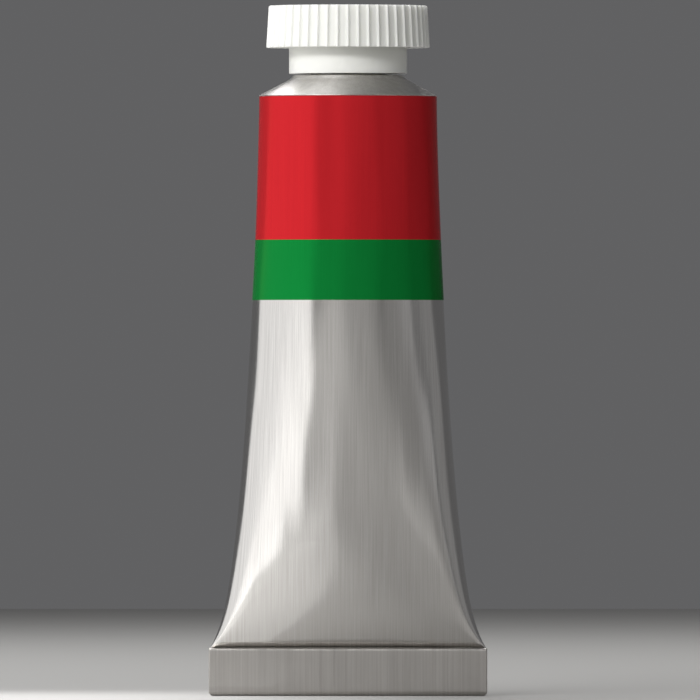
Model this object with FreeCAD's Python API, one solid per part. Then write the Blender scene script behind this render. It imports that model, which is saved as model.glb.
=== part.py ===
# A small collapsible tube of artists' water colour, with its fluted screw cap on.
#
# The tube is one piece of soft aluminium: a threaded nozzle and a cone shoulder run into a thin sleeve,
# which is round at the shoulder and pressed flat at the other end. The flat end is folded over twice and
# sealed with latex. Two bands of colour are printed on the sleeve. The cap is a moulded plastic shell with
# a deep threaded skirt inside a shorter fluted rim, and it holds a loose foam disc that seals the nozzle.
#
# Frame: millimetres, +Z along the tube's axis towards the cap, X along the folded end, origin at the middle
# of the fold's lower edge. The folded flap faces -Y.

import FreeCAD, Part

import math
import os

Vector = FreeCAD.Vector

# ---------------------------------------------------------------- driving dimensions

# sleeve
tube_diameter = 19.0        # outside, at the round end
wall = 0.12                 # thickness of the sleeve
sleeve_length = 59.28       # from the fold's top edge up into the shoulder's rim
sleeve_in_rim = 0.05        # its round end is sunk this far in the rim
pinch_gap = 0.06            # space left between the two walls where the fold begins
panel_angle = 60.0          # half-angle of the front and back panels at the round end
print_coat = 0.03           # thickness of a printed band

# folded end
fold_height = 5.12
fold_film = 0.10            # room for the latex between the two walls
sealant_slack = 0.01        # between the latex and each wall
fold_overhang = 0.10        # how far the pressed fold stands past the sleeve at each side
layer_gap = 0.02            # air between the folded layers
free_edge_lift = 0.30       # the free edge stops this far above the lower bend's centre
film_setback = 0.05         # the latex stops this far short of the free edge
jaw_mark_lift = 0.22        # a line left by the closing jaws, above the lower bend's centre
jaw_mark_width = 0.12
jaw_mark_depth = 0.03
corner_clip = 0.30          # the fold's two lower corners are cut off by this much

# shoulder
rim_overhang = 0.05         # the rim stands this far out from the sleeve
rim_land = 0.10             # its short upright face
rim_round = 0.12
cone_slope = 27.1           # degrees above the horizontal
step_inset = 0.50           # the flat step round the nozzle is this much smaller than the cap's skirt
step_spread = 0.42          # width of the steep flank between the cone and the step
step_rise = 0.45            # height of that flank
shoulder_wall = 0.55
corner_ring = 0.44          # radial width of the stiff ring inside the rim
corner_ring_depth = 0.35    # how far it hangs below the rim

# nozzle
bore_radius = 2.5
neck_wall = 1.5             # from the bore to the thread's root
neck_height = 5.6
mouth_chamfer = 0.15
thread_pitch = 1.5
thread_height = 0.5         # radial
thread_root_width = 0.95
thread_crest_width = 0.35
thread_start = 1.0          # above the step
thread_end = 1.0            # below the mouth
thread_run_out = 20.0       # degrees over which each end of a thread fades into its wall

# cap
cap_lift_gap = 0.15         # between the skirt's lower edge and the step
skirt_wall = 1.61
cap_clearance = 0.22        # between the nozzle's thread and the wall of the cap's bore
crest_clearance = 0.17      # between the cap's thread and the nozzle's core
cap_thread_root_width = 0.95
cap_thread_crest_width = 0.35
cap_thread_end = 0.55       # below the mouth
cap_roof = 1.1
rim_height = 4.5            # of the fluted rim
groove_width = 1.14         # between the skirt and the rim
rim_wall = 1.0              # under the flutes' valleys, at the lower edge
rim_draft = 0.27            # the rim is this much smaller in radius at the top
flute_count = 48
flute_depth = 0.30
crest_half_width = 0.20
crest_rounding = 0.06
cap_edge_chamfer = 0.22
cap_edge_drop = 0.22
recess_border = 1.6         # from the recess in the top to the crests
recess_depth = 0.15
gate_radius = 0.55
gate_height = 0.08
bore_lead_in = 0.25

# liner, paint and print
liner_thickness = 0.75
liner_side_gap = 0.17
paint_gap = 0.05            # between the paint and the metal round it
head_space = 4.2            # empty length left above the fold when the tube is closed
red_band_height = 15.38
green_band_height = 6.46
band_rim_gap = 0.03

# ---------------------------------------------------------------- sizes that follow from them

tube_radius = tube_diameter / 2
quarter_girth = math.pi * tube_diameter / 4
pinch_half = wall + pinch_gap / 2
layer = 2 * wall + fold_film
layer_step = layer + layer_gap
low_bend_z = layer_step + layer / 2
fold_half_width = quarter_girth - pinch_half * (math.pi / 2 - 1) + fold_overhang

neck_core_radius = bore_radius + neck_wall
thread_radius = neck_core_radius + thread_height
cap_bore_radius = thread_radius + cap_clearance
cap_crest_radius = neck_core_radius + crest_clearance
skirt_radius = cap_bore_radius + skirt_wall
groove_radius = skirt_radius + groove_width
flute_radius_low = groove_radius + rim_wall + flute_depth
flute_radius_top = flute_radius_low - rim_draft
step_radius = skirt_radius - step_inset

fold_top_z = fold_height
sleeve_top_z = fold_top_z + sleeve_length
rim_z = sleeve_top_z - sleeve_in_rim
slope = math.tan(math.radians(cone_slope))
cone_low_radius = tube_radius + rim_overhang - rim_round
cone_low_z = rim_z + rim_land + rim_round * (slope + 1) / 2
cone_top_radius = step_radius + step_spread
cone_top_z = cone_low_z + (cone_low_radius - cone_top_radius) * slope
step_z = cone_top_z + step_rise
under_step_z = step_z - shoulder_wall
cone_drop = shoulder_wall / math.cos(math.radians(cone_slope))
corner_ring_radius = tube_radius - wall / 2 - corner_ring

mouth_z = step_z + neck_height
cap_bottom_z = step_z + cap_lift_gap
ceiling_z = mouth_z + liner_thickness
cap_top_z = ceiling_z + cap_roof
flute_bottom_z = cap_top_z - rim_height

MERGE = 0.05                # how deep pieces of one solid sink into each other before they are fused


def polygon_face(points):
    """A flat face inside a closed run of corners."""
    return Part.Face(Part.makePolygon(points + points[:1]))


def revolve(profile):
    """A solid turned about Z from (radius, height) corners."""
    return polygon_face([Vector(r, 0, z) for r, z in profile]).revolve(Vector(), Vector(0, 0, 1), 360)


def tube(inner, outer, low, high):
    """A plain ring between two radii and two heights."""
    return revolve([(inner, low), (outer, low), (outer, high), (inner, high)])


def cylinder(radius, low, high):
    return Part.makeCylinder(radius, high - low, Vector(0, 0, low))


# ---------------------------------------------------------------- the sleeve's shape


def half_width(t):
    """Half the sleeve's width at t, from 0 at the rim to 1 at the fold: a slow spread, then a quick flare."""
    spread = 0.635 * t**1.5 + 0.225 * t**8 + 0.14 * t**30
    end = quarter_girth - pinch_half * (math.pi / 2 - 1)
    return tube_radius + (end - tube_radius) * spread


def section_wire(t, z, offset):
    """The sleeve's outline at t, moved out by offset: two side arcs and two panel arcs, tangent to each other.

    The girth stays that of the round end, because sheet metal bends here and doesn't stretch. At the fold
    the panels are straight.
    """
    width = half_width(t)
    beta = math.radians(panel_angle) * (1 - t**2)
    if beta > 1e-6:
        sine = math.sin(beta)
        det = beta - sine * math.pi / 2
        side = (width * beta - sine * quarter_girth) / det
        panel = ((1 - sine) * quarter_girth - (math.pi / 2 - beta) * width) / det
        side_x = (panel - side) * sine
        panel_y = (panel - side) * math.cos(beta)
    else:
        side = (quarter_girth - width) / (math.pi / 2 - 1)
        side_x = width - side
    side += offset
    corner = Vector(side_x + side * math.sin(beta), side * math.cos(beta), z)
    right_back = corner
    left_back = Vector(-corner.x, corner.y, z)
    left_front = Vector(-corner.x, -corner.y, z)
    right_front = Vector(corner.x, -corner.y, z)
    side_edges = [
        Part.Arc(left_back, Vector(-side_x - side, 0, z), left_front).toShape(),
        Part.Arc(right_front, Vector(side_x + side, 0, z), right_back).toShape(),
    ]
    if beta > 1e-6:
        depth = panel + offset - panel_y
        back = Part.Arc(right_back, Vector(0, depth, z), left_back).toShape()
        front = Part.Arc(left_front, Vector(0, -depth, z), right_front).toShape()
    else:
        back = Part.makeLine(right_back, left_back)
        front = Part.makeLine(left_front, right_front)
    return Part.Wire([back, side_edges[0], front, side_edges[1]])


STATIONS = (0.0, 0.06, 0.14, 0.24, 0.36, 0.48, 0.60, 0.70, 0.78, 0.85, 0.90, 0.94, 0.97, 0.985, 1.0)


def sleeve_solid(offset):
    """The space inside the sleeve's outline moved out by offset."""
    return Part.makeLoft([section_wire(t, sleeve_top_z - t * sleeve_length, offset) for t in STATIONS], True)


def slab(low, high):
    """Everything between two heights, for cutting a length out of the sleeve."""
    reach = 3 * tube_diameter
    return Part.makeBox(reach, reach, high - low, Vector(-reach / 2, -reach / 2, low))


# ---------------------------------------------------------------- the folded end


def fold_sheet(half_thickness, half_length, end_extra=0.0):
    """The flattened end, folded over twice towards -Y, as a band of the given half-thickness.

    The back layer runs down, turns up in front as the outer flap, and turns down again between the two.
    end_extra lengthens the band at its free edge.
    """
    big = layer_step
    small = layer_step / 2
    top_z = fold_top_z - small - layer / 2
    end_z = low_bend_z + free_edge_lift - end_extra

    def outline(side):
        """One face of the band, from the sleeve to the free edge; side is +1 for the outer face."""
        h = side * half_thickness
        y_back, y_front, y_middle = h, -2 * layer_step - h, -layer_step + h
        start = Vector(0, y_back, fold_top_z)
        a = Vector(0, y_back, low_bend_z)
        b = Vector(0, y_front, low_bend_z)
        c = Vector(0, y_front, top_z)
        d = Vector(0, y_middle, top_z)
        end = Vector(0, y_middle, end_z)
        low_middle = Vector(0, -layer_step, low_bend_z - big - h)
        top_middle = Vector(0, -1.5 * layer_step, top_z + small + h)
        return [
            Part.makeLine(start, a),
            Part.Arc(a, low_middle, b).toShape(),
            Part.makeLine(b, c),
            Part.Arc(c, top_middle, d).toShape(),
            Part.makeLine(d, end),
        ], start, end

    outer, outer_start, outer_end = outline(1)
    inner, inner_start, inner_end = outline(-1)
    closing = [Part.makeLine(outer_end, inner_end), Part.makeLine(inner_start, outer_start)]
    wire = Part.Wire(Part.__sortEdges__(outer + inner + closing))
    band = Part.Face(wire).extrude(Vector(2 * half_length, 0, 0))
    band.translate(Vector(-half_length, 0, 0))
    return band.common(clipped_corners(half_length, layer / 2 - half_thickness))


def clipped_corners(half_length, inset):
    """A block with its lower corners cut off; the cut keeps its distance as the block shrinks by inset."""
    clip = corner_clip - inset * (2 - math.sqrt(2))
    high = fold_top_z + 1
    deep = 4 * layer_step
    front = [Vector(x, -deep, z) for x, z in (
        (-half_length, high), (-half_length, inset + clip), (clip - half_length, inset),
        (half_length - clip, inset), (half_length, inset + clip), (half_length, high))]
    return polygon_face(front).extrude(Vector(0, 2 * deep, 0))


# ---------------------------------------------------------------- threads


def thread_ridge(wall_radius, crest_radius, root_width, crest_width, low_z, high_z):
    """A right-hand helical ridge from wall_radius to crest_radius, its middle rising from low_z to high_z.

    Each end sinks into the wall over thread_run_out degrees. The ridge's root lies just inside the wall.
    """
    rise = high_z - low_z
    outward = math.copysign(1, crest_radius - wall_radius)
    height = abs(crest_radius - wall_radius)
    sweep = 360 * rise / thread_pitch
    count = math.ceil(sweep / 15)
    run_out = thread_run_out / sweep
    fractions = [0, run_out] + [i / count for i in range(1, count) if run_out < i / count < 1 - run_out]
    wires = []
    for f in fractions + [1 - run_out, 1]:
        angle = math.radians(sweep * f)
        z = low_z + rise * f
        sink = height * (0.9 if f in (0, 1) else 0.0)
        root = wall_radius - outward * (MERGE + sink)
        crest = crest_radius - outward * sink
        corners = [(root, z - root_width / 2), (crest, z - crest_width / 2),
                   (crest, z + crest_width / 2), (root, z + root_width / 2)]
        points = [Vector(r * math.cos(angle), r * math.sin(angle), h) for r, h in corners]
        wires.append(Part.makePolygon(points + points[:1]))
    return Part.makeLoft(wires, True)


# ---------------------------------------------------------------- the pieces


def shoulder_and_nozzle():
    """The cone shoulder, its rim and the threaded nozzle, turned in one."""
    rim_radius = tube_radius + rim_overhang
    ring_outer = tube_radius - wall / 2
    ring_low_z = rim_z - corner_ring_depth
    profile = [
        (rim_radius, rim_z),
        (rim_radius, rim_z + rim_land),
        (rim_radius - rim_round * 0.35, rim_z + rim_land + rim_round * 0.6),
        (cone_low_radius, cone_low_z),
        (cone_top_radius, cone_top_z),
        (step_radius, step_z),
        (neck_core_radius, step_z),
        (neck_core_radius, mouth_z - mouth_chamfer),
        (neck_core_radius - mouth_chamfer, mouth_z),
        (bore_radius + mouth_chamfer, mouth_z),
        (bore_radius, mouth_z - mouth_chamfer),
        (bore_radius, under_step_z),
        (under_cone_radius(under_step_z), under_step_z),
        (corner_ring_radius, under_cone_z(corner_ring_radius)),
        (corner_ring_radius, ring_low_z),
        (ring_outer, ring_low_z),
        (ring_outer, rim_z),
    ]
    ridge = thread_ridge(
        neck_core_radius, thread_radius, thread_root_width, thread_crest_width,
        step_z + thread_start, mouth_z - thread_end,
    )
    return revolve(profile).fuse(ridge)


def under_cone_z(radius, gap=0.0):
    """Height of the shoulder's inner face at a radius, or of a face that lies gap below it."""
    lower = cone_drop + gap / math.cos(math.radians(cone_slope))
    return cone_low_z + (cone_low_radius - radius) * slope - lower


def under_cone_radius(z, gap=0.0):
    """Radius at which that face reaches height z."""
    return cone_low_radius - (z + cone_drop + gap / math.cos(math.radians(cone_slope)) - cone_low_z) / slope


def aluminium_tube():
    """Nozzle, shoulder, sleeve and folded end: one piece of metal, open from the mouth to the fold."""
    outside = sleeve_solid(0).fuse(fold_sheet(layer / 2, fold_half_width))
    film = fold_sheet(fold_film / 2, fold_half_width - wall, end_extra=MERGE)
    shell = outside.cut(sleeve_solid(-wall).fuse(film))
    mark_z = low_bend_z + jaw_mark_lift - jaw_mark_width / 2
    mark = Part.makeBox(
        2 * fold_half_width + 2, jaw_mark_depth, jaw_mark_width,
        Vector(-fold_half_width - 1, -2 * layer_step - layer / 2, mark_z),
    )
    return shell.cut(mark).fuse(shoulder_and_nozzle())


def end_sealant():
    """The latex film between the two walls, all along the folded end."""
    return fold_sheet(
        fold_film / 2 - sealant_slack, fold_half_width - wall - sealant_slack, end_extra=-film_setback
    )


def paint_fill():
    """The paint, from under the shoulder down to the space left above the fold."""
    body_top_z = rim_z - corner_ring_depth - paint_gap
    body = sleeve_solid(-wall - paint_gap).common(slab(fold_top_z + head_space, body_top_z))
    plug_radius = corner_ring_radius - paint_gap
    plug_top_z = under_step_z - paint_gap
    plug = revolve([
        (0, body_top_z - 1), (plug_radius, body_top_z - 1), (plug_radius, under_cone_z(plug_radius, paint_gap)),
        (under_cone_radius(plug_top_z, paint_gap), plug_top_z), (0, plug_top_z),
    ])
    return body.fuse(plug)


def printed_band(top_z, height):
    """A thin coat of ink round the sleeve."""
    return sleeve_solid(print_coat).common(slab(top_z - height, top_z)).cut(sleeve_solid(0))


def fluted_wire(crest_radius, z):
    """The rim's outline at one height: narrow rounded crests with wide hollow valleys between them."""
    pitch = 2 * math.pi / flute_count
    half = crest_half_width / crest_radius
    side_radius = crest_radius - crest_rounding

    def point(radius, angle):
        return Vector(radius * math.cos(angle), radius * math.sin(angle), z)

    edges = []
    for i in range(flute_count):
        centre = i * pitch
        left = point(side_radius, centre - half)
        right = point(side_radius, centre + half)
        following = point(side_radius, centre + pitch - half)
        edges.append(Part.Arc(left, point(crest_radius, centre), right).toShape())
        valley = point(crest_radius - flute_depth, centre + pitch / 2)
        edges.append(Part.Arc(right, valley, following).toShape())
    return Part.Wire(edges)


def cap_shell():
    """The cap: a fluted rim hung from the roof round a longer threaded skirt, with an open groove between."""
    rim = Part.makeLoft([fluted_wire(flute_radius_low, flute_bottom_z),
                         fluted_wire(flute_radius_top, cap_top_z)], True, True)
    edge_radius = flute_radius_top - cap_edge_chamfer
    envelope = revolve([
        (0, flute_bottom_z), (flute_radius_low + 1, flute_bottom_z), (flute_radius_low + 1, cap_top_z - 1),
        (flute_radius_top + 0.1, cap_top_z - cap_edge_drop), (edge_radius, cap_top_z), (0, cap_top_z),
    ])
    skirt = cylinder(skirt_radius, cap_bottom_z, cap_top_z - cap_roof / 2)
    body = rim.common(envelope).fuse(skirt)
    bore = revolve([
        (0, cap_bottom_z - 1), (cap_bore_radius + bore_lead_in, cap_bottom_z - 1),
        (cap_bore_radius + bore_lead_in, cap_bottom_z), (cap_bore_radius, cap_bottom_z + bore_lead_in),
        (cap_bore_radius, ceiling_z), (0, ceiling_z),
    ])
    groove = tube(skirt_radius, groove_radius, flute_bottom_z - 1, ceiling_z)
    recess = cylinder(flute_radius_top - recess_border, cap_top_z - recess_depth, cap_top_z + 1)
    gate = cylinder(gate_radius, cap_top_z - recess_depth - MERGE, cap_top_z - recess_depth + gate_height)
    body = body.cut(bore).cut(groove).cut(recess).fuse(gate)
    ridge = thread_ridge(
        cap_bore_radius, cap_crest_radius, cap_thread_root_width, cap_thread_crest_width,
        step_z + thread_start + thread_pitch / 2, mouth_z - cap_thread_end,
    )
    return body.fuse(ridge)


def cap_liner():
    """The foam disc between the cap's roof and the nozzle's mouth."""
    return cylinder(cap_bore_radius - liner_side_gap, mouth_z, ceiling_z)


def main():
    os.makedirs("parts", exist_ok=True)
    red_top_z = rim_z - band_rim_gap
    pieces = {
        "aluminium_tube": aluminium_tube(),
        "end_sealant": end_sealant(),
        "paint_fill": paint_fill(),
        "red_print_band": printed_band(red_top_z, red_band_height),
        "green_print_band": printed_band(red_top_z - red_band_height, green_band_height),
        "cap_shell": cap_shell(),
        "cap_liner": cap_liner(),
    }
    for name, shape in pieces.items():
        shape = shape.removeSplitter()
        solids = shape.Solids
        print(f"{name}: {len(solids)} solid, {shape.Volume:.2f} mm3, valid {shape.isValid()}")
        shape = solids[0] if len(solids) == 1 else Part.makeCompound(solids)
        shape.exportStep(f"parts/{name}.step")


main()
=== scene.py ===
# A small collapsible tube of artists' paint, dressed on its construction model.
#
# The metal comes first, from the drawn sleeve and its shoulder and nozzle to the folded end. Then come the
# printed bands, the paint and the latex film inside, and the cap with its foam liner.
# Heights and places come from the frame. Shapes are worked out in millimetres and turned to metres in the
# mesh, while the camera and the lights are in metres.

import bmesh
import bpy
import numpy as np
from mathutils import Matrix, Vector


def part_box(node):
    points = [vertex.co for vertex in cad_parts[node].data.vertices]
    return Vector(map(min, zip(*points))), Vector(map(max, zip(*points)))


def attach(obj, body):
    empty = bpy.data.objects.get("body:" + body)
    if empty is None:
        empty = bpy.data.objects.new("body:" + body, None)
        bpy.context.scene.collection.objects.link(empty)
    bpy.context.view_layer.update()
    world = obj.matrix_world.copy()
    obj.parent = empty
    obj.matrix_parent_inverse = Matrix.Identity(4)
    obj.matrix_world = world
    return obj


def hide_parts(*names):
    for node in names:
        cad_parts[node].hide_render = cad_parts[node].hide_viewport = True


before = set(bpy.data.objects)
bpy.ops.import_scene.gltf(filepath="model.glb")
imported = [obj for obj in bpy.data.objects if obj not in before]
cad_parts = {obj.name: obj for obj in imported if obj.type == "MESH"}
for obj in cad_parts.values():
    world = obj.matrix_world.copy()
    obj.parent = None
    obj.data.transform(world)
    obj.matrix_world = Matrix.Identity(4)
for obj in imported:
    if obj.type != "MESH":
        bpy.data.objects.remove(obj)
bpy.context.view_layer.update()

MM = 0.001
scene = bpy.context.scene

# ------------------------------------------------------------------------------------------------ camera
# The camera stands level with the tube's middle. It is about 2 m away, so that the tube's sides show
# square on.

view_height = 75.14 * MM
eye_height = 37.12 * MM
eye_side = 0.21 * MM

camera_data = bpy.data.cameras.new("camera")
camera_data.lens = 1000
camera_data.sensor_width = 36
camera = bpy.data.objects.new("camera", camera_data)
scene.collection.objects.link(camera)
scene.camera = camera
camera.location = (eye_side, -view_height * camera_data.lens / camera_data.sensor_width, eye_height)
camera.rotation_euler = (np.pi / 2, 0, 0)

# ------------------------------------------------------------------------------------------------- floor
# A plain pale table top covered with matt paper, and wide enough to fill every view. It has no backdrop,
# so the tube shows from behind too.

half_floor = 700.0


def linear(hex_colour):
    """An sRGB hex colour as linear red, green, blue and 1."""
    srgb = np.array([int(hex_colour[i:i + 2], 16) for i in (0, 2, 4)]) / 255
    low, high = srgb / 12.92, ((srgb + 0.055) / 1.055) ** 2.4
    return (*np.where(srgb <= 0.04045, low, high), 1.0)


def material_named(name):
    """A new material with only its shader and output: returns the material and the shader."""
    material = bpy.data.materials.new(name)
    material.use_nodes = True
    return material, material.node_tree.nodes["Principled BSDF"]


def mesh_object(name, points, faces, smooth=True):
    """An object from points in millimetres and faces, turned so that its faces point outwards.

    The sum of corner . (corner x corner) over all the triangles is six times the enclosed volume, so a
    negative sum means that the faces point inwards and their corners are taken the other way round.
    """
    corners = points[faces]
    volume = np.einsum("ij,ij->", corners[:, 0], np.cross(corners[:, 1], corners[:, 2]))
    if faces.shape[1] == 4:
        volume += np.einsum("ij,ij->", corners[:, 0], np.cross(corners[:, 2], corners[:, 3]))
    if volume < 0:
        faces = faces[:, ::-1]
    mesh = bpy.data.meshes.new(name)
    mesh.from_pydata((points * MM).tolist(), [], faces.tolist())
    if smooth:
        mesh.shade_smooth()
    else:
        mesh.shade_flat()
    made = bpy.data.objects.new(name, mesh)
    scene.collection.objects.link(made)
    return made


floor_corners = np.array([[-1, -1, 0], [1, -1, 0], [1, 1, 0], [-1, 1, 0]]) * half_floor
floor = mesh_object("floor", floor_corners, np.array([[0, 1, 2, 3]]), smooth=False)
paper, shader = material_named("matt white paper")
shader.inputs["Base Color"].default_value = linear("a7a6a4")
shader.inputs["Roughness"].default_value = 0.9
floor.data.materials.append(paper)

# ------------------------------------------------------------------------------------------------- light
# Plain soft boxes: a big one on the left, bright ones high on the left, high behind and overhead for the
# shoulder, and large dim ones in front and on the right. The lower half of the sleeve mirrors the floor, so
# panels and discs lie just over it, facing up, and a soft spot lights it beside the tube.


def put_lamp(name, light, place, turn):
    """A light in the scene, at its place and turn."""
    lamp = bpy.data.objects.new(name, light)
    lamp.location, lamp.rotation_euler = place, turn
    scene.collection.objects.link(lamp)


def even_light(name, radiance, width, height=None):
    """Area light of one radiance all over: a rectangle, or a disc if it has no height.

    Its energy is four times the radiance times the area.
    """
    light = bpy.data.lights.new(name, "AREA")
    light.shape = "RECTANGLE" if height else "DISK"
    light.size = width
    if height:
        light.size_y = height
    area = width * height if height else np.pi / 4 * width**2
    light.energy = 4 * radiance * area
    return light


def facing(place, target):
    """The turn of a light at place that shines at the target."""
    return (Vector(target) - place).to_track_quat("-Z", "Y").to_euler()


def soft_box(name, bearing, distance, width, height, level, radiance, aim=0.037):
    """A box at a bearing from the camera's side of the tube (right is positive), facing its axis at aim."""
    angle = np.radians(bearing)
    place = Vector((distance * np.sin(angle), -distance * np.cos(angle), level))
    put_lamp(name, even_light(name, radiance, width, height), place, facing(place, (0, 0, aim)))


face_up = np.pi
over_floor = 0.001


def low_panel(name, start, end, width, radiance):
    """A rectangle lying face up just over the floor, on the right of the line from start to end."""
    run = Vector((*end, 0)) - Vector((*start, 0))
    aside = Vector((run.y, -run.x, 0)).normalized()
    place = Vector((*start, over_floor)) + run / 2 + aside * width / 2
    turn = (face_up, 0, np.arctan2(run.y, run.x))
    put_lamp(name, even_light(name, radiance, run.length, width), place, turn)


def low_disc(name, place, across, radiance):
    """A disc lying face up just over the floor, its middle at place."""
    put_lamp(name, even_light(name, radiance, across), (*place, over_floor), (face_up, 0, 0))


soft_box("key", bearing=-84, distance=0.30, width=0.52, height=0.38, level=0.19, radiance=0.68, aim=0.19)
soft_box("high left", bearing=-30, distance=0.50, width=0.34, height=0.10, level=0.285, radiance=13.0)
soft_box("high back", bearing=-160, distance=0.34, width=0.40, height=0.20, level=0.40, radiance=4.6)
soft_box("overhead", bearing=-80, distance=0.22, width=0.24, height=0.24, level=0.50, radiance=2.4, aim=0.065)
soft_box("front fill", bearing=8, distance=0.80, width=0.85, height=0.9, level=0.10, radiance=0.22)
soft_box("front left", bearing=-12, distance=0.75, width=0.20, height=0.9, level=0.10, radiance=0.14)
soft_box("strip", bearing=62, distance=0.70, width=0.42, height=0.7, level=0.06, radiance=0.17)
soft_box("right card", bearing=98, distance=0.60, width=0.36, height=0.7, level=0.30, radiance=0.09)
low_panel("low key", start=(-0.030, -0.046), end=(-0.191, -0.260), width=0.24, radiance=0.65)
low_panel("low left", start=(-0.010, -0.040), end=(-0.050, -0.220), width=0.014, radiance=0.12)
low_panel("low right", start=(0.060, -0.062), end=(0.200, -0.170), width=0.018, radiance=0.10)
low_disc("low near, small", place=(-0.049, -0.020), across=0.060, radiance=0.18)
low_disc("low near, large", place=(-0.058, -0.025), across=0.110, radiance=0.12)

pool = bpy.data.lights.new("pool", "SPOT")
pool.energy = 14.0
pool.shadow_soft_size = 0.02
pool.spot_size = np.radians(10.2)
pool.spot_blend = 1.0
pool_place = Vector((-0.20, -0.18, 0.45))
put_lamp("pool", pool, pool_place, facing(pool_place, (-0.042, -0.014, 0)))

room_light = (0.12, 0.12, 0.123, 1)
world = bpy.data.worlds.new("studio")
world.use_nodes = True
world.node_tree.nodes["Background"].inputs["Color"].default_value = room_light
scene.world = world
scene.view_settings.view_transform = "Standard"

# ------------------------------------------------------------------------------------------------- sleeve
# Soft aluminium, drawn to a thin round sleeve and then pressed flat at one end. Its girth doesn't stretch,
# so every section is as far round as the first: two tight side arcs and two slack panels, in tangent.

diameter = 19.0
wall = 0.12
pinch = 0.06
panel_angle = 60.0  # in degrees, at the round end
flat_enough = 1e-4  # in radians, at the fold, where the panels' radius is very long
rim_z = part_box("red_print_band")[1].z / MM + 0.03
sleeve_top = rim_z + 0.05
fold_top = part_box("end_sealant")[1].z / MM
quarter = np.pi * diameter / 4
end_half = quarter - (wall + pinch / 2) * (np.pi / 2 - 1)

# The spread from the round end to the fold, as shares of it that each grow by a power of the way down.
spreads = ((0.635, 1.5), (0.225, 8), (0.14, 30))
# Gentle waves from handling: height in mm, waves round the girth, lean, start, and how each comes and goes
# along the length and round the girth.
ripples = ((0.030, 9.5, 9, 0.6, 5.2, 9), (0.022, 17, -7, 2.1, 11, 3))
ripple_onset = 0.7

sleeve_columns = 384
sleeve_steps = 124
crowding = 1.6
mm_to_cm = 0.1


def sleeve_half_width(t):
    """Half the width at t, from 0 at the rim to 1 at the fold: a slow spread, then a quick flare."""
    return diameter / 2 + (end_half - diameter / 2) * sum(share * t**power for share, power in spreads)


def sleeve_point(t, girth, out):
    """Place on the sleeve at t, a share girth of the way round from the front's middle, moved out by out.

    The normal turns evenly along each arc: from straight ahead to beta over the panel, then on to the side.
    The lengths of half a panel and half a side add to a quarter of the girth, and their widths to the half
    width, which gives the two radii. The waves die away at both ends, as a power of a sine of t.
    """
    t, girth = np.broadcast_arrays(t, girth)
    width = sleeve_half_width(t)
    beta = np.maximum(np.radians(panel_angle) * (1 - t**2), flat_enough)
    sine = np.sin(beta)
    det = beta - sine * np.pi / 2
    side = (width * beta - sine * quarter) / det
    panel = ((1 - sine) * quarter - (np.pi / 2 - beta) * width) / det
    way = (girth + 0.5) % 1 - 0.5
    run = np.abs(way) * 4 * quarter
    folded = np.minimum(run, 2 * quarter - run)
    turn = np.where(folded < panel * beta, folded / panel, beta + (folded - panel * beta) / side)
    on_panel = turn < beta
    x = np.where(on_panel, panel * np.sin(turn), (panel - side) * sine + side * np.sin(turn))
    y = np.where(on_panel, panel * (np.cos(turn) - np.cos(beta)) + side * np.cos(beta), side * np.cos(turn))
    wave = sum(
        height * np.sin(waves * way * 2 * np.pi + lean * t + start) * np.sin(along * t + around * way)
        for height, waves, lean, start, along, around in ripples
    )
    out = out + wave * np.sin(np.pi * np.clip(t, 0, 1)) ** ripple_onset
    x = (x + out * np.sin(turn)) * np.where(way < 0, -1, 1)
    y = (y + out * np.cos(turn)) * np.where(run < quarter, -1, 1)
    return x, y


def sleeve_rows(t, out):
    """A grid of points on the sleeve, one row for each t."""
    girth = np.arange(sleeve_columns) / sleeve_columns
    x, y = sleeve_point(t[:, None], girth[None, :], out)
    z = np.broadcast_to(sleeve_top - t[:, None] * (sleeve_top - fold_top), x.shape)
    return np.stack([x, y, z], axis=-1)


def grid_faces(rows, columns, closed_rows=False, closed_columns=True):
    """The quads between neighbours of a grid whose rows and columns may close on themselves."""
    i = np.arange(rows if closed_rows else rows - 1)[:, None]
    j = np.arange(columns if closed_columns else columns - 1)[None, :]
    i2, j2 = (i + 1) % rows, (j + 1) % columns
    quads = [i * columns + j, i * columns + j2, i2 * columns + j2, i2 * columns + j]
    return np.stack(np.broadcast_arrays(*quads)).reshape(4, -1).T


def sheet_shell(name, t, outer, inner):
    """A closed shell on the sleeve between two offsets, with a UV map in centimetres on its flat sheet.

    The map runs across with the columns and down with the rows. In the faces that close the girth, the first
    column counts as one past the last, so that the pattern doesn't run back.
    """
    both = np.concatenate([t, t[::-1]])
    grid = np.concatenate([sleeve_rows(t, outer), sleeve_rows(t[::-1], inner)])
    piece = mesh_object(name, grid.reshape(-1, 3), grid_faces(len(grid), sleeve_columns, closed_rows=True))
    loops = np.empty(len(piece.data.loops), dtype=int)
    piece.data.loops.foreach_get("vertex_index", loops)
    across = (loops % sleeve_columns).reshape(-1, 4)
    closing = (across.max(axis=1) - across.min(axis=1) > 1)[:, None]
    across = np.where(closing & (across == 0), sleeve_columns, across).ravel()
    down = both[loops // sleeve_columns] * (sleeve_top - fold_top)
    values = np.stack([across * 4 * quarter / sleeve_columns, down], axis=-1) * mm_to_cm
    piece.data.uv_layers.new(name="sheet").data.foreach_set("uv", values.ravel())
    return piece


def add(material, kind, settings=None, **inputs):
    """Adds a node. settings are its properties. Each input takes a value, or another node's output.

    An input goes by its name, with _ for each space, or by _ and its number where names repeat.
    """
    node = material.node_tree.nodes.new(kind)
    for key, value in (settings or {}).items():
        setattr(node, key, value)
    for key, value in inputs.items():
        socket = node.inputs[int(key[1:]) if key[0] == "_" else key.replace("_", " ")]
        if isinstance(value, bpy.types.NodeSocket):
            material.node_tree.links.new(value, socket)
        else:
            socket.default_value = value
    return node


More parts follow.
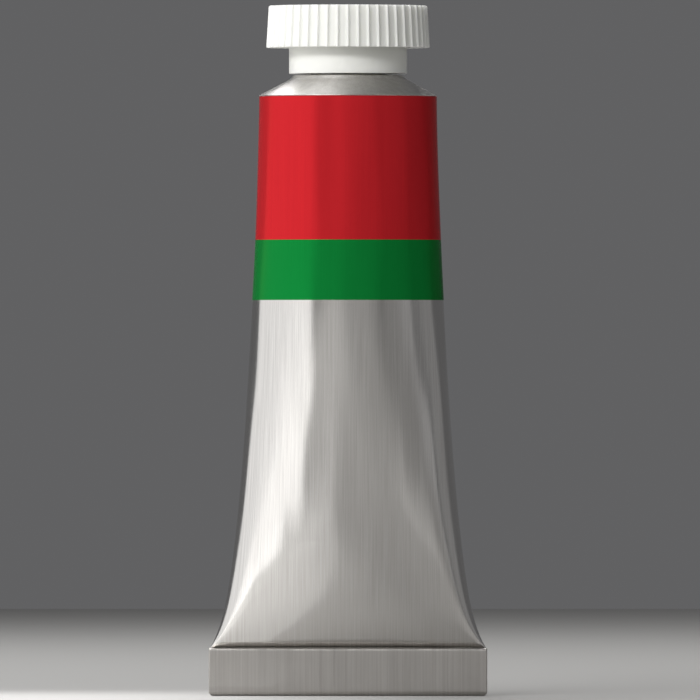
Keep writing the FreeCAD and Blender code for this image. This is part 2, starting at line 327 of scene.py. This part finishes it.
def brushed(material, shader, across, along, strength, depth):
    """Fine lines drawn out along the sheet, as bump: returns the fine layer, for the metal's or ink's tone.

    across and along are the lines in a millimetre, and depth is how deep they are in millimetres. Two
    layers of noise are stretched along the tube. The second is coarser, with clumps of several lines.
    """
    clumps_across, clumps_along, clumps_share = 0.22, 0.35, 0.8
    across, along = across / mm_to_cm, along / mm_to_cm
    sheet = add(material, "ShaderNodeUVMap", {"uv_map": "sheet"}).outputs["UV"]
    lines = add(material, "ShaderNodeMapping", Vector=sheet, Scale=(across, along, 1))
    clumps = add(material, "ShaderNodeMapping", Vector=sheet,
                 Scale=(across * clumps_across, along * clumps_along, 1))
    fine = add(material, "ShaderNodeTexNoise", Vector=lines.outputs["Vector"],
               Scale=1.0, Detail=3.0, Roughness=0.65)
    coarse = add(material, "ShaderNodeTexNoise", Vector=clumps.outputs["Vector"], Scale=1.0, Detail=2.0)
    both = add(material, "ShaderNodeMath", {"operation": "MULTIPLY_ADD"},
               _0=coarse.outputs["Fac"], _1=clumps_share, _2=fine.outputs["Fac"])
    bump = add(material, "ShaderNodeBump", Height=both.outputs[0], Strength=strength, Distance=depth * MM)
    material.node_tree.links.new(bump.outputs["Normal"], shader.inputs["Normal"])
    return fine.outputs["Fac"]


way_down = 1 - np.linspace(1, 0, sleeve_steps) ** crowding
sleeve = sheet_shell("sleeve", way_down, 0.0, -wall)

# Bare aluminium, drawn and then brushed lengthways: bright, faintly warm, with hair lines along the tube.
# Real ones are finer than these, which are as coarse as they need to be to show, at eight to the millimetre.
drawn, shader = material_named("drawn brushed aluminium")
fine = brushed(drawn, shader, across=8.0, along=0.09, strength=0.55, depth=0.01)
tone = add(drawn, "ShaderNodeMapRange", Value=fine, From_Min=0.3, From_Max=0.7)
colour = add(drawn, "ShaderNodeMix", {"data_type": "RGBA"},
             _0=tone.outputs[0], _6=linear("d0cdca"), _7=linear("e4e2df"))
drawn.node_tree.links.new(colour.outputs[2], shader.inputs["Base Color"])
shader.inputs["Metallic"].default_value = 1.0
shader.inputs["Roughness"].default_value = 0.16
sleeve.data.materials.append(drawn)
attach(sleeve, "tube")
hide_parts("aluminium_tube")

# --------------------------------------------------------------------------------------- shoulder and nozzle
# The thick end of the same piece of metal, struck in a die and turned: a cone with a hard rim, a flat step
# for the cap to close on, and a nozzle with a coarse screw thread.

step_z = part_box("cap_shell")[0].z / MM - 0.15
mouth_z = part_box("cap_liner")[0].z / MM
bore = 2.5
core = 4.0
step_radius = 5.83
cone_top = 6.25
cone_top_z = step_z - 0.45
rim_radius = 9.55
rim_land = 0.08
ring_radius = 9.44
ring_inside = 9.0
ring_z = rim_z - 0.35
web_radius = 5.22
web_z = step_z - 0.55
cone_under_z = rim_z - 0.18


def soft_profile(corners, steps=6):
    """Radius and height along a line whose corners (radius, height, rounding) are turned in short curves.

    Each curve is a quadratic one from a point before the corner to a point after it. A further point
    beside each end keeps the straight stretches flat.
    """
    corners = np.array(corners, dtype=float)
    here, size = corners[:, :2], corners[:, 2:]
    way = np.diff(here, axis=0)
    way /= np.linalg.norm(way, axis=1, keepdims=True)
    before = here[1:-1] - way[:-1] * size[1:-1]
    after = here[1:-1] + way[1:] * size[1:-1]
    u = np.linspace(0, 1, steps)[None, :, None]
    curve = (1 - u) ** 2 * before[:, None] + 2 * u * (1 - u) * here[1:-1, None] + u**2 * after[:, None]
    hold = 0.25 * size[1:-1, None]
    first, last = curve[:, :1] - way[:-1, None] * hold, curve[:, -1:] + way[1:, None] * hold
    curve = np.concatenate([first, curve, last], axis=1)
    return np.concatenate([here[:1], curve.reshape(-1, 2), here[-1:]])


def turned(name, profile, columns, closed=True):
    """A surface of revolution about Z: the profile, as radius and height, carried round in equal steps."""
    angle = np.arange(columns) * 2 * np.pi / columns
    radius, height = profile[:, :1], profile[:, 1:]
    round_z = np.broadcast_to(height, (len(profile), columns))
    points = np.stack([radius * np.cos(angle), radius * np.sin(angle), round_z], axis=-1)
    return mesh_object(name, points.reshape(-1, 3), grid_faces(len(profile), columns, closed_rows=closed))


# Each corner is radius, height and rounding: up the stiff ring and the rim, over the cone and the step, up
# the nozzle, down its bore and back under the cone.
shoulder_profile = soft_profile([
    (ring_inside, ring_z, 0.0),
    (ring_radius, ring_z, 0.04),
    (ring_radius, rim_z, 0.02),
    (rim_radius, rim_z, 0.04),
    (rim_radius, rim_z + rim_land, 0.05),
    (cone_top, cone_top_z, 0.16),
    (step_radius, step_z, 0.16),
    (core, step_z, 0.22),
    (core, mouth_z, 0.16),
    (bore, mouth_z, 0.16),
    (bore, web_z, 0.10),
    (web_radius, web_z, 0.10),
    (ring_inside, cone_under_z, 0.05),
    (ring_inside, ring_z + 0.01, 0.0),
])
shoulder = turned("shoulder_and_nozzle", shoulder_profile, columns=256)

# Struck and turned aluminium: the same metal, satin and finely grained. The turning spreads each highlight
# up and down the cone and not round it. The grain is as coarse as it needs to be to show, at nine to the
# millimetre.
struck, shader = material_named("struck satin aluminium")
place = add(struck, "ShaderNodeTexCoord").outputs["Object"]
grain = add(struck, "ShaderNodeTexNoise", Vector=place, Scale=9 / MM, Detail=3.0, Roughness=0.7)
blotch = add(struck, "ShaderNodeTexNoise", Vector=place, Scale=1.4 / MM, Detail=2.0)
bump = add(struck, "ShaderNodeBump", Height=grain.outputs["Fac"], Strength=0.6, Distance=0.03 * MM)
struck.node_tree.links.new(bump.outputs["Normal"], shader.inputs["Normal"])
tone = add(struck, "ShaderNodeMath", {"operation": "MULTIPLY_ADD"},
           _0=blotch.outputs["Fac"], _1=0.6, _2=grain.outputs["Fac"])
spread = add(struck, "ShaderNodeMapRange", Value=tone.outputs[0], From_Min=0.5, From_Max=1.1)
colour = add(struck, "ShaderNodeMix", {"data_type": "RGBA"},
             _0=spread.outputs[0], _6=linear("c4c1be"), _7=linear("e6e4e2"))
struck.node_tree.links.new(colour.outputs[2], shader.inputs["Base Color"])
around = add(struck, "ShaderNodeTangent", {"direction_type": "RADIAL", "axis": "Z"})
struck.node_tree.links.new(around.outputs[0], shader.inputs["Tangent"])
shader.inputs["Metallic"].default_value = 1.0
shader.inputs["Roughness"].default_value = 0.42
shader.inputs["Anisotropic"].default_value = 0.75
shader.inputs["Anisotropic Rotation"].default_value = 0.25
shoulder.data.materials.append(struck)
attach(shoulder, "tube")

pitch = 1.5
thread_height = 0.5
thread_root = 0.95
thread_crest = 0.35
thread_corner = 0.07
thread_steps = 72
fades_per_turn = 16
thread_margin = 1.0


def thread(name, wall_radius, crest_radius, low, high):
    """A helical ridge between two radii: a trapezium with soft corners, carried up a right-hand helix.

    Over the first and last sixteenth of a turn it sinks into its wall by a smooth step, and two flat quads
    close each end. Its foot is buried a little in the wall.
    """
    bury, crown = 0.05, 0.12
    rise = crest_radius - wall_radius
    turns = (high - low) / pitch
    u = np.linspace(0, 1, int(turns * thread_steps) + 1)[:, None]
    fade = np.clip(np.minimum(u, 1 - u) * turns * fades_per_turn, 0, 1)
    sink = rise * (1 - fade * fade * (3 - 2 * fade))
    half_root, half_crest = thread_root / 2, thread_crest / 2
    edge = half_crest + thread_corner
    across = np.array([-half_root, -edge, -half_crest, half_crest, edge, half_root])
    depth = rise * thread_corner / (half_root - half_crest)
    foot = wall_radius - np.sign(rise) * bury
    corner, crest = crest_radius - depth, crest_radius - depth * crown
    radius = np.array([foot, corner, crest, crest, corner, foot]) - sink
    angle = u * turns * 2 * np.pi
    z = low + u * (high - low) + across
    points = np.stack(np.broadcast_arrays(radius * np.cos(angle), radius * np.sin(angle), z), axis=-1)
    rows, columns = z.shape
    end = np.array([[0, 1, 2, 5], [2, 3, 4, 5]])
    faces = np.concatenate([grid_faces(rows, columns), end[:, ::-1], (rows - 1) * columns + end])
    return mesh_object(name, points.reshape(-1, 3), faces)


nozzle_thread = thread("nozzle_thread", core, core + thread_height,
                       step_z + thread_margin, mouth_z - thread_margin)
nozzle_thread.data.materials.append(struck)
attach(nozzle_thread, "tube")

# ---------------------------------------------------------------------------------------------- folded end
# The flat end of the sleeve, turned up twice towards the front and pressed: a strip three layers deep, with
# round edges above and below, clipped lower corners and the line that the closing jaws leave.

film_room = 0.10
air_gap = 0.02
layer = 2 * wall + film_room
step = layer + air_gap
fold_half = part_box("aluminium_tube")[1].x / MM
low_bend_z = step + layer / 2
free_edge_lift = 0.30
corner_clip = 0.30
pressed_flat = 0.62
jaw_line_lift, jaw_line_width, jaw_line_depth = 0.22, 0.07, 0.03
# The front's sway: height in mm, radians per mm along the fold, start, and radians per mm up the fold.
sways = ((0.014, 0.9, 1, 0), (0.004, 2.3, 0, 0.5), (0.0015, 4.1, 0, 0))
bend_steps, rise_steps, fold_columns = 21, 12, 241


def fold_profile():
    """Depth and height round the folded band: out along one face of the sheet, back along the other.

    Both faces run beside one path: down at the back, round the lower bend, up the front, over the top bend
    and down the middle to the free edge. Each bend is a half circle about the path's own centre, and the top
    one is pressed flatter: its cosine and sine are raised to a power below one.
    """
    low, top = low_bend_z, fold_top - step / 2 - layer / 2
    turn = np.linspace(0, np.pi, bend_steps)
    cosine, sine = np.cos(turn), np.sin(turn)
    across, up = np.sign(cosine) * np.abs(cosine) ** pressed_flat, sine**pressed_flat
    rise_z = np.linspace(low, top, rise_steps + 2)[1:-1]

    def face(out):
        lower = np.stack([-step + (step + out) * cosine, low - (step + out) * sine], axis=-1)
        rise = np.stack([np.full(rise_steps, -2 * step - out), rise_z], axis=-1)
        upper = np.stack([-1.5 * step - (step / 2 + out) * across, top + (step / 2 + out) * up], axis=-1)
        first, last = [[out, fold_top]], [[-step + out, low + free_edge_lift]]
        return np.concatenate([first, lower, rise, upper, last])

    return np.concatenate([face(layer / 2), face(-layer / 2)[::-1]])


def fold_points():
    """The profile carried along X, with its lower corners drawn in.

    The front layer, which is what lies past the middle of the top bend, sways by hundredths of a millimetre.
    A shallow groove, a bell curve in height, runs low along it.
    """
    profile = fold_profile()
    u = np.linspace(-1, 1, fold_columns)
    x = u * fold_half
    y = np.broadcast_to(profile[:, :1], (len(profile), len(x))).copy()
    z = np.broadcast_to(profile[:, 1:], y.shape)
    front = y < -1.6 * step
    groove = jaw_line_depth * np.exp(-(((z - (low_bend_z + jaw_line_lift)) / jaw_line_width) ** 2))
    sway = sum(height * np.sin(x * waves + start + z * lean) for height, waves, start, lean in sways)
    y += np.where(front, groove + sway, 0)
    return np.stack([u * (fold_half - np.clip(corner_clip - z, 0, None)), y, z], axis=-1)


fold_grid = fold_points()
rows, columns = fold_grid.shape[:2]
pairs = np.arange(rows // 2 - 1)
left = np.stack([pairs, pairs + 1, rows - 2 - pairs, rows - 1 - pairs], axis=-1) * columns
right = left[:, ::-1] + columns - 1
fold_sides = grid_faces(rows, columns, closed_rows=True, closed_columns=False)
fold = mesh_object("folded_end", fold_grid.reshape(-1, 3), np.concatenate([fold_sides, left, right]))

# The same drawn metal, rougher where the jaws have pressed it, and painted darker than the sleeve as shade
# for the dimmer light on the fold. Its hair lines run up the fold, and are as coarse as they need to be to
# show.
pressed, shader = material_named("pressed brushed aluminium")
place = add(pressed, "ShaderNodeTexCoord").outputs["Object"]
lines = add(pressed, "ShaderNodeMapping", Vector=place, Scale=(5.5 / MM, 0.6 / MM, 0.06 / MM))
fine = add(pressed, "ShaderNodeTexNoise", Vector=lines.outputs["Vector"],
           Scale=1.0, Detail=3.0, Roughness=0.65)
bump = add(pressed, "ShaderNodeBump", Height=fine.outputs["Fac"], Strength=0.5, Distance=0.02 * MM)
pressed.node_tree.links.new(bump.outputs["Normal"], shader.inputs["Normal"])
tone = add(pressed, "ShaderNodeMapRange", Value=fine.outputs["Fac"], From_Min=0.3, From_Max=0.7)
# Painted shade: tones darker than the sleeve's, for the fold's dimmer light.
colour = add(pressed, "ShaderNodeMix", {"data_type": "RGBA"},
             _0=tone.outputs[0], _6=linear("a9a5a1"), _7=linear("b6b3af"))
pressed.node_tree.links.new(colour.outputs[2], shader.inputs["Base Color"])
shader.inputs["Metallic"].default_value = 1.0
shader.inputs["Roughness"].default_value = 0.34
fold.data.materials.append(pressed)
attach(fold, "tube")

# ------------------------------------------------------------------------------------------- printed bands
# Two coats of enamel, rolled onto the round sleeve before it was filled and closed: thin, glossy and a
# little see-through, so the metal's own light and its hair lines show in them.

coat = 0.03
coat_sunk = 0.01
band_steps = 40
edge_row = 2e-4


def printed_band(name, node):
    """A thin shell on the sleeve between the heights of its CAD node, closed at both edges.

    A row just inside each edge keeps the smooth shading of the face flat up to the edge.
    """
    low, high = (corner.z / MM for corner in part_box(node))
    ends = (sleeve_top - np.array([high, low])) / (sleeve_top - fold_top)
    t = np.sort(np.append(np.linspace(*ends, band_steps), ends + np.array([edge_row, -edge_row])))
    band = sheet_shell(name, t, coat, -coat_sunk)
    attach(band, "tube")
    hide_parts(node)
    return band


def enamel(name, deep, bright):
    """Enamel over metal: part the metal's tinted shine, the rest the ink's own colour."""
    material, shader = material_named(name)
    fine = brushed(material, shader, across=9.0, along=0.05, strength=0.3, depth=0.01)
    tone = add(material, "ShaderNodeMapRange", Value=fine, From_Min=0.3, From_Max=0.7)
    colour = add(material, "ShaderNodeMix", {"data_type": "RGBA"},
                 _0=tone.outputs[0], _6=linear(deep), _7=linear(bright))
    material.node_tree.links.new(colour.outputs[2], shader.inputs["Base Color"])
    shader.inputs["Metallic"].default_value = 0.4
    shader.inputs["Roughness"].default_value = 0.22
    shader.inputs["Specular IOR Level"].default_value = 0.08
    shader.inputs["Specular Tint"].default_value = linear(deep)
    return material


red_band = printed_band("red_band", "red_print_band")
red_band.data.materials.append(enamel("red tube enamel", "c2252c", "cb282e"))
green_band = printed_band("green_band", "green_print_band")
green_band.data.materials.append(enamel("green tube enamel", "0f7b34", "128339"))

# --------------------------------------------------------------------------------------------------- paint
# The tube's filling: pigment ground into a thick wet paste, in the red of the band. It is put in through
# the open end before that is folded, and shows only down the nozzle's bore.

paste, shader = material_named("wet red paint paste")
place = add(paste, "ShaderNodeTexCoord").outputs["Object"]
lumps = add(paste, "ShaderNodeTexNoise", Vector=place, Scale=0.9 / MM, Detail=2.0)
bump = add(paste, "ShaderNodeBump", Height=lumps.outputs["Fac"], Strength=0.5, Distance=0.1 * MM)
paste.node_tree.links.new(bump.outputs["Normal"], shader.inputs["Normal"])
shader.inputs["Base Color"].default_value = linear("a3161c")
shader.inputs["Roughness"].default_value = 0.22
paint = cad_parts["paint_fill"]
paint.data.materials.clear()
paint.data.materials.append(paste)

# ----------------------------------------------------------------------------------------------- latex film
# A band of latex, brushed inside the sleeve's open end before that was folded. It has dried to a pale
# yellow film, which seals the fold between the two walls.

latex, shader = material_named("dried latex")
place = add(latex, "ShaderNodeTexCoord").outputs["Object"]
cloud = add(latex, "ShaderNodeTexNoise", Vector=place, Scale=0.5 / MM, Detail=2.0)
colour = add(latex, "ShaderNodeMix", {"data_type": "RGBA"},
             _0=cloud.outputs["Fac"], _6=linear("c9bb94"), _7=linear("ddd2b0"))
latex.node_tree.links.new(colour.outputs[2], shader.inputs["Base Color"])
shader.inputs["Roughness"].default_value = 0.6
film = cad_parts["end_sealant"]
film.data.materials.clear()
film.data.materials.append(latex)

# ----------------------------------------------------------------------------------------------------- cap
# White polypropylene, moulded in one: a roof, a fluted rim hung round it and a longer threaded skirt inside.
# The flutes are shallow hollows between narrow crests, and the rim tapers so that it leaves its mould.

cap_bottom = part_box("cap_shell")[0].z / MM
cap_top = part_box("cap_shell")[1].z / MM
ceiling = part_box("cap_liner")[1].z / MM
flute_low = cap_top - 4.5
flutes = 48
rim_low_radius = 8.77
rim_top_radius = 8.50
flute_depth = 0.24
skirt = 6.33
cap_bore = 4.72
lead_in = 0.25
groove = 7.47
recess = 6.9
recess_z = cap_top - 0.15
recess_slope = 0.08
gate = 0.55
gate_slope = 0.05
gate_z = cap_top - 0.07
cap_crest = 4.17
cap_thread_low = step_z + 1.75
cap_thread_high = mouth_z - 0.55
crest_share = 0.06

# Each corner is radius, height, rounding, and how deep the flutes bite there, from 0 to 1. The line starts on
# the gate's stub in the top's recess, goes over the rim, up its groove, down the skirt and up the bore.
cap_corners = np.array([
    (0.0, gate_z, 0.0, 0),
    (gate, gate_z, 0.04, 0),
    (gate + gate_slope, recess_z, 0.04, 0),
    (recess - recess_slope, recess_z, 0.06, 0),
    (recess, cap_top, 0.06, 0),
    (rim_top_radius, cap_top, 0.16, 1),
    (rim_low_radius, flute_low, 0.10, 1),
    (groove, flute_low, 0.10, 0),
    (groove, ceiling, 0.20, 0),
    (skirt, ceiling, 0.20, 0),
    (skirt, cap_bottom, 0.10, 0),
    (cap_bore + lead_in, cap_bottom, 0.06, 0),
    (cap_bore, cap_bottom + lead_in, 0.06, 0),
    (cap_bore, ceiling, 0.10, 0),
    (0.0, ceiling, 0.0, 0),
])


def cap_surface():
    """The cap's profile carried round, its radius drawn in by the flutes.

    Across a flute's pitch, the hollow is one less the eighth power of the distance from its middle: a flat
    floor with steep sides. It is nothing over the crest, which takes crest_share of the pitch at each side.
    The columns lie close together on the sides and far apart on the floor.
    """
    profile = soft_profile(cap_corners[:, :3])
    per_corner = (len(profile) - 2) // (len(cap_corners) - 2)
    bite = np.concatenate([[0], np.repeat(cap_corners[1:-1, 3], per_corner), [0]])[:, None]
    half_pitch = np.array([0.0, crest_share, 0.08, 0.10, 0.13, 0.17, 0.23, 0.33, 0.5])
    across = np.concatenate([half_pitch, 1 - half_pitch[-2:0:-1]])
    angle = ((np.arange(flutes)[:, None] + across) * 2 * np.pi / flutes).ravel()
    from_middle = np.abs(np.tile(across, flutes) - 0.5) / (0.5 - crest_share)
    hollow = np.clip(1 - from_middle**8, 0, 1)
    radius = profile[:, :1] - bite * flute_depth * hollow[None, :]
    round_z = np.broadcast_to(profile[:, 1:], radius.shape)
    return np.stack([radius * np.cos(angle), radius * np.sin(angle), round_z], axis=-1)


def close_poles(piece):
    """Merges the points that meet on the axis."""
    touching = 1e-7
    work = bmesh.new()
    work.from_mesh(piece.data)
    bmesh.ops.remove_doubles(work, verts=work.verts, dist=touching)
    work.to_mesh(piece.data)
    work.free()


cap_grid = cap_surface()
cap = mesh_object("cap", cap_grid.reshape(-1, 3), grid_faces(*cap_grid.shape[:2]))
close_poles(cap)

# Moulded polypropylene: a soft, slightly see-through white with a satin skin.
polypropylene, shader = material_named("moulded white polypropylene")
place = add(polypropylene, "ShaderNodeTexCoord").outputs["Object"]
skin = add(polypropylene, "ShaderNodeTexNoise", Vector=place, Scale=5 / MM, Detail=2.0)
flow = add(polypropylene, "ShaderNodeTexNoise", Vector=place, Scale=0.26 / MM, Detail=2.0)
bump = add(polypropylene, "ShaderNodeBump", Height=skin.outputs["Fac"], Strength=0.25, Distance=0.01 * MM)
polypropylene.node_tree.links.new(bump.outputs["Normal"], shader.inputs["Normal"])
colour = add(polypropylene, "ShaderNodeMix", {"data_type": "RGBA"},
             _0=flow.outputs["Fac"], _6=linear("eaebe5"), _7=linear("efefea"))
polypropylene.node_tree.links.new(colour.outputs[2], shader.inputs["Base Color"])
shader.inputs["Roughness"].default_value = 0.38
shader.inputs["Subsurface Weight"].default_value = 0.5
shader.inputs["Subsurface Radius"].default_value = (1.4 * MM, 1.4 * MM, 1.3 * MM)
shader.inputs["Subsurface Scale"].default_value = 1.0
cap.data.materials.append(polypropylene)
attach(cap, "cap")
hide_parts("cap_shell")

cap_thread = thread("cap_thread", cap_bore, cap_crest, cap_thread_low, cap_thread_high)
cap_thread.data.materials.append(polypropylene)
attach(cap_thread, "cap")

# --------------------------------------------------------------------------------------------------- liner
# A disc punched from a sheet of fine white foam, loose under the cap's roof. The nozzle's mouth has pressed
# a shallow ring into its lower face.

liner_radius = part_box("cap_liner")[1].x / MM
ring_top_z = mouth_z + 0.05
ring_outside, ring_slope = 0.05, 0.2
liner_profile = soft_profile([
    (0.0, ceiling, 0.0),
    (liner_radius, ceiling, 0.10),
    (liner_radius, mouth_z, 0.10),
    (core + ring_outside, mouth_z, 0.10),
    (core + ring_outside - ring_slope, ring_top_z, 0.08),
    (bore - ring_outside + ring_slope, ring_top_z, 0.08),
    (bore - ring_outside, mouth_z, 0.10),
    (0.0, mouth_z, 0.0),
])
liner = turned("foam_liner", liner_profile, columns=128, closed=False)
close_poles(liner)

# Fine foam: a dull white of small round cells, each a shallow dimple in the bump. Each cell is painted darker
# at its middle, as shade in its hollow.
foam, shader = material_named("white polyethylene foam")
place = add(foam, "ShaderNodeTexCoord").outputs["Object"]
cells = add(foam, "ShaderNodeTexVoronoi", Vector=place, Scale=4 / MM)
bump = add(foam, "ShaderNodeBump", Height=cells.outputs["Distance"], Strength=0.5, Distance=0.08 * MM)
foam.node_tree.links.new(bump.outputs["Normal"], shader.inputs["Normal"])
# Painted shade: the colour darkens towards each cell's middle, where the bump dips.
tone = add(foam, "ShaderNodeMapRange", Value=cells.outputs["Distance"], From_Min=0.0, From_Max=0.8)
colour = add(foam, "ShaderNodeMix", {"data_type": "RGBA"},
             _0=tone.outputs[0], _6=linear("d8d8d2"), _7=linear("eeeeea"))
foam.node_tree.links.new(colour.outputs[2], shader.inputs["Base Color"])
shader.inputs["Roughness"].default_value = 0.8
liner.data.materials.append(foam)
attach(liner, "liner")
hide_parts("cap_liner")
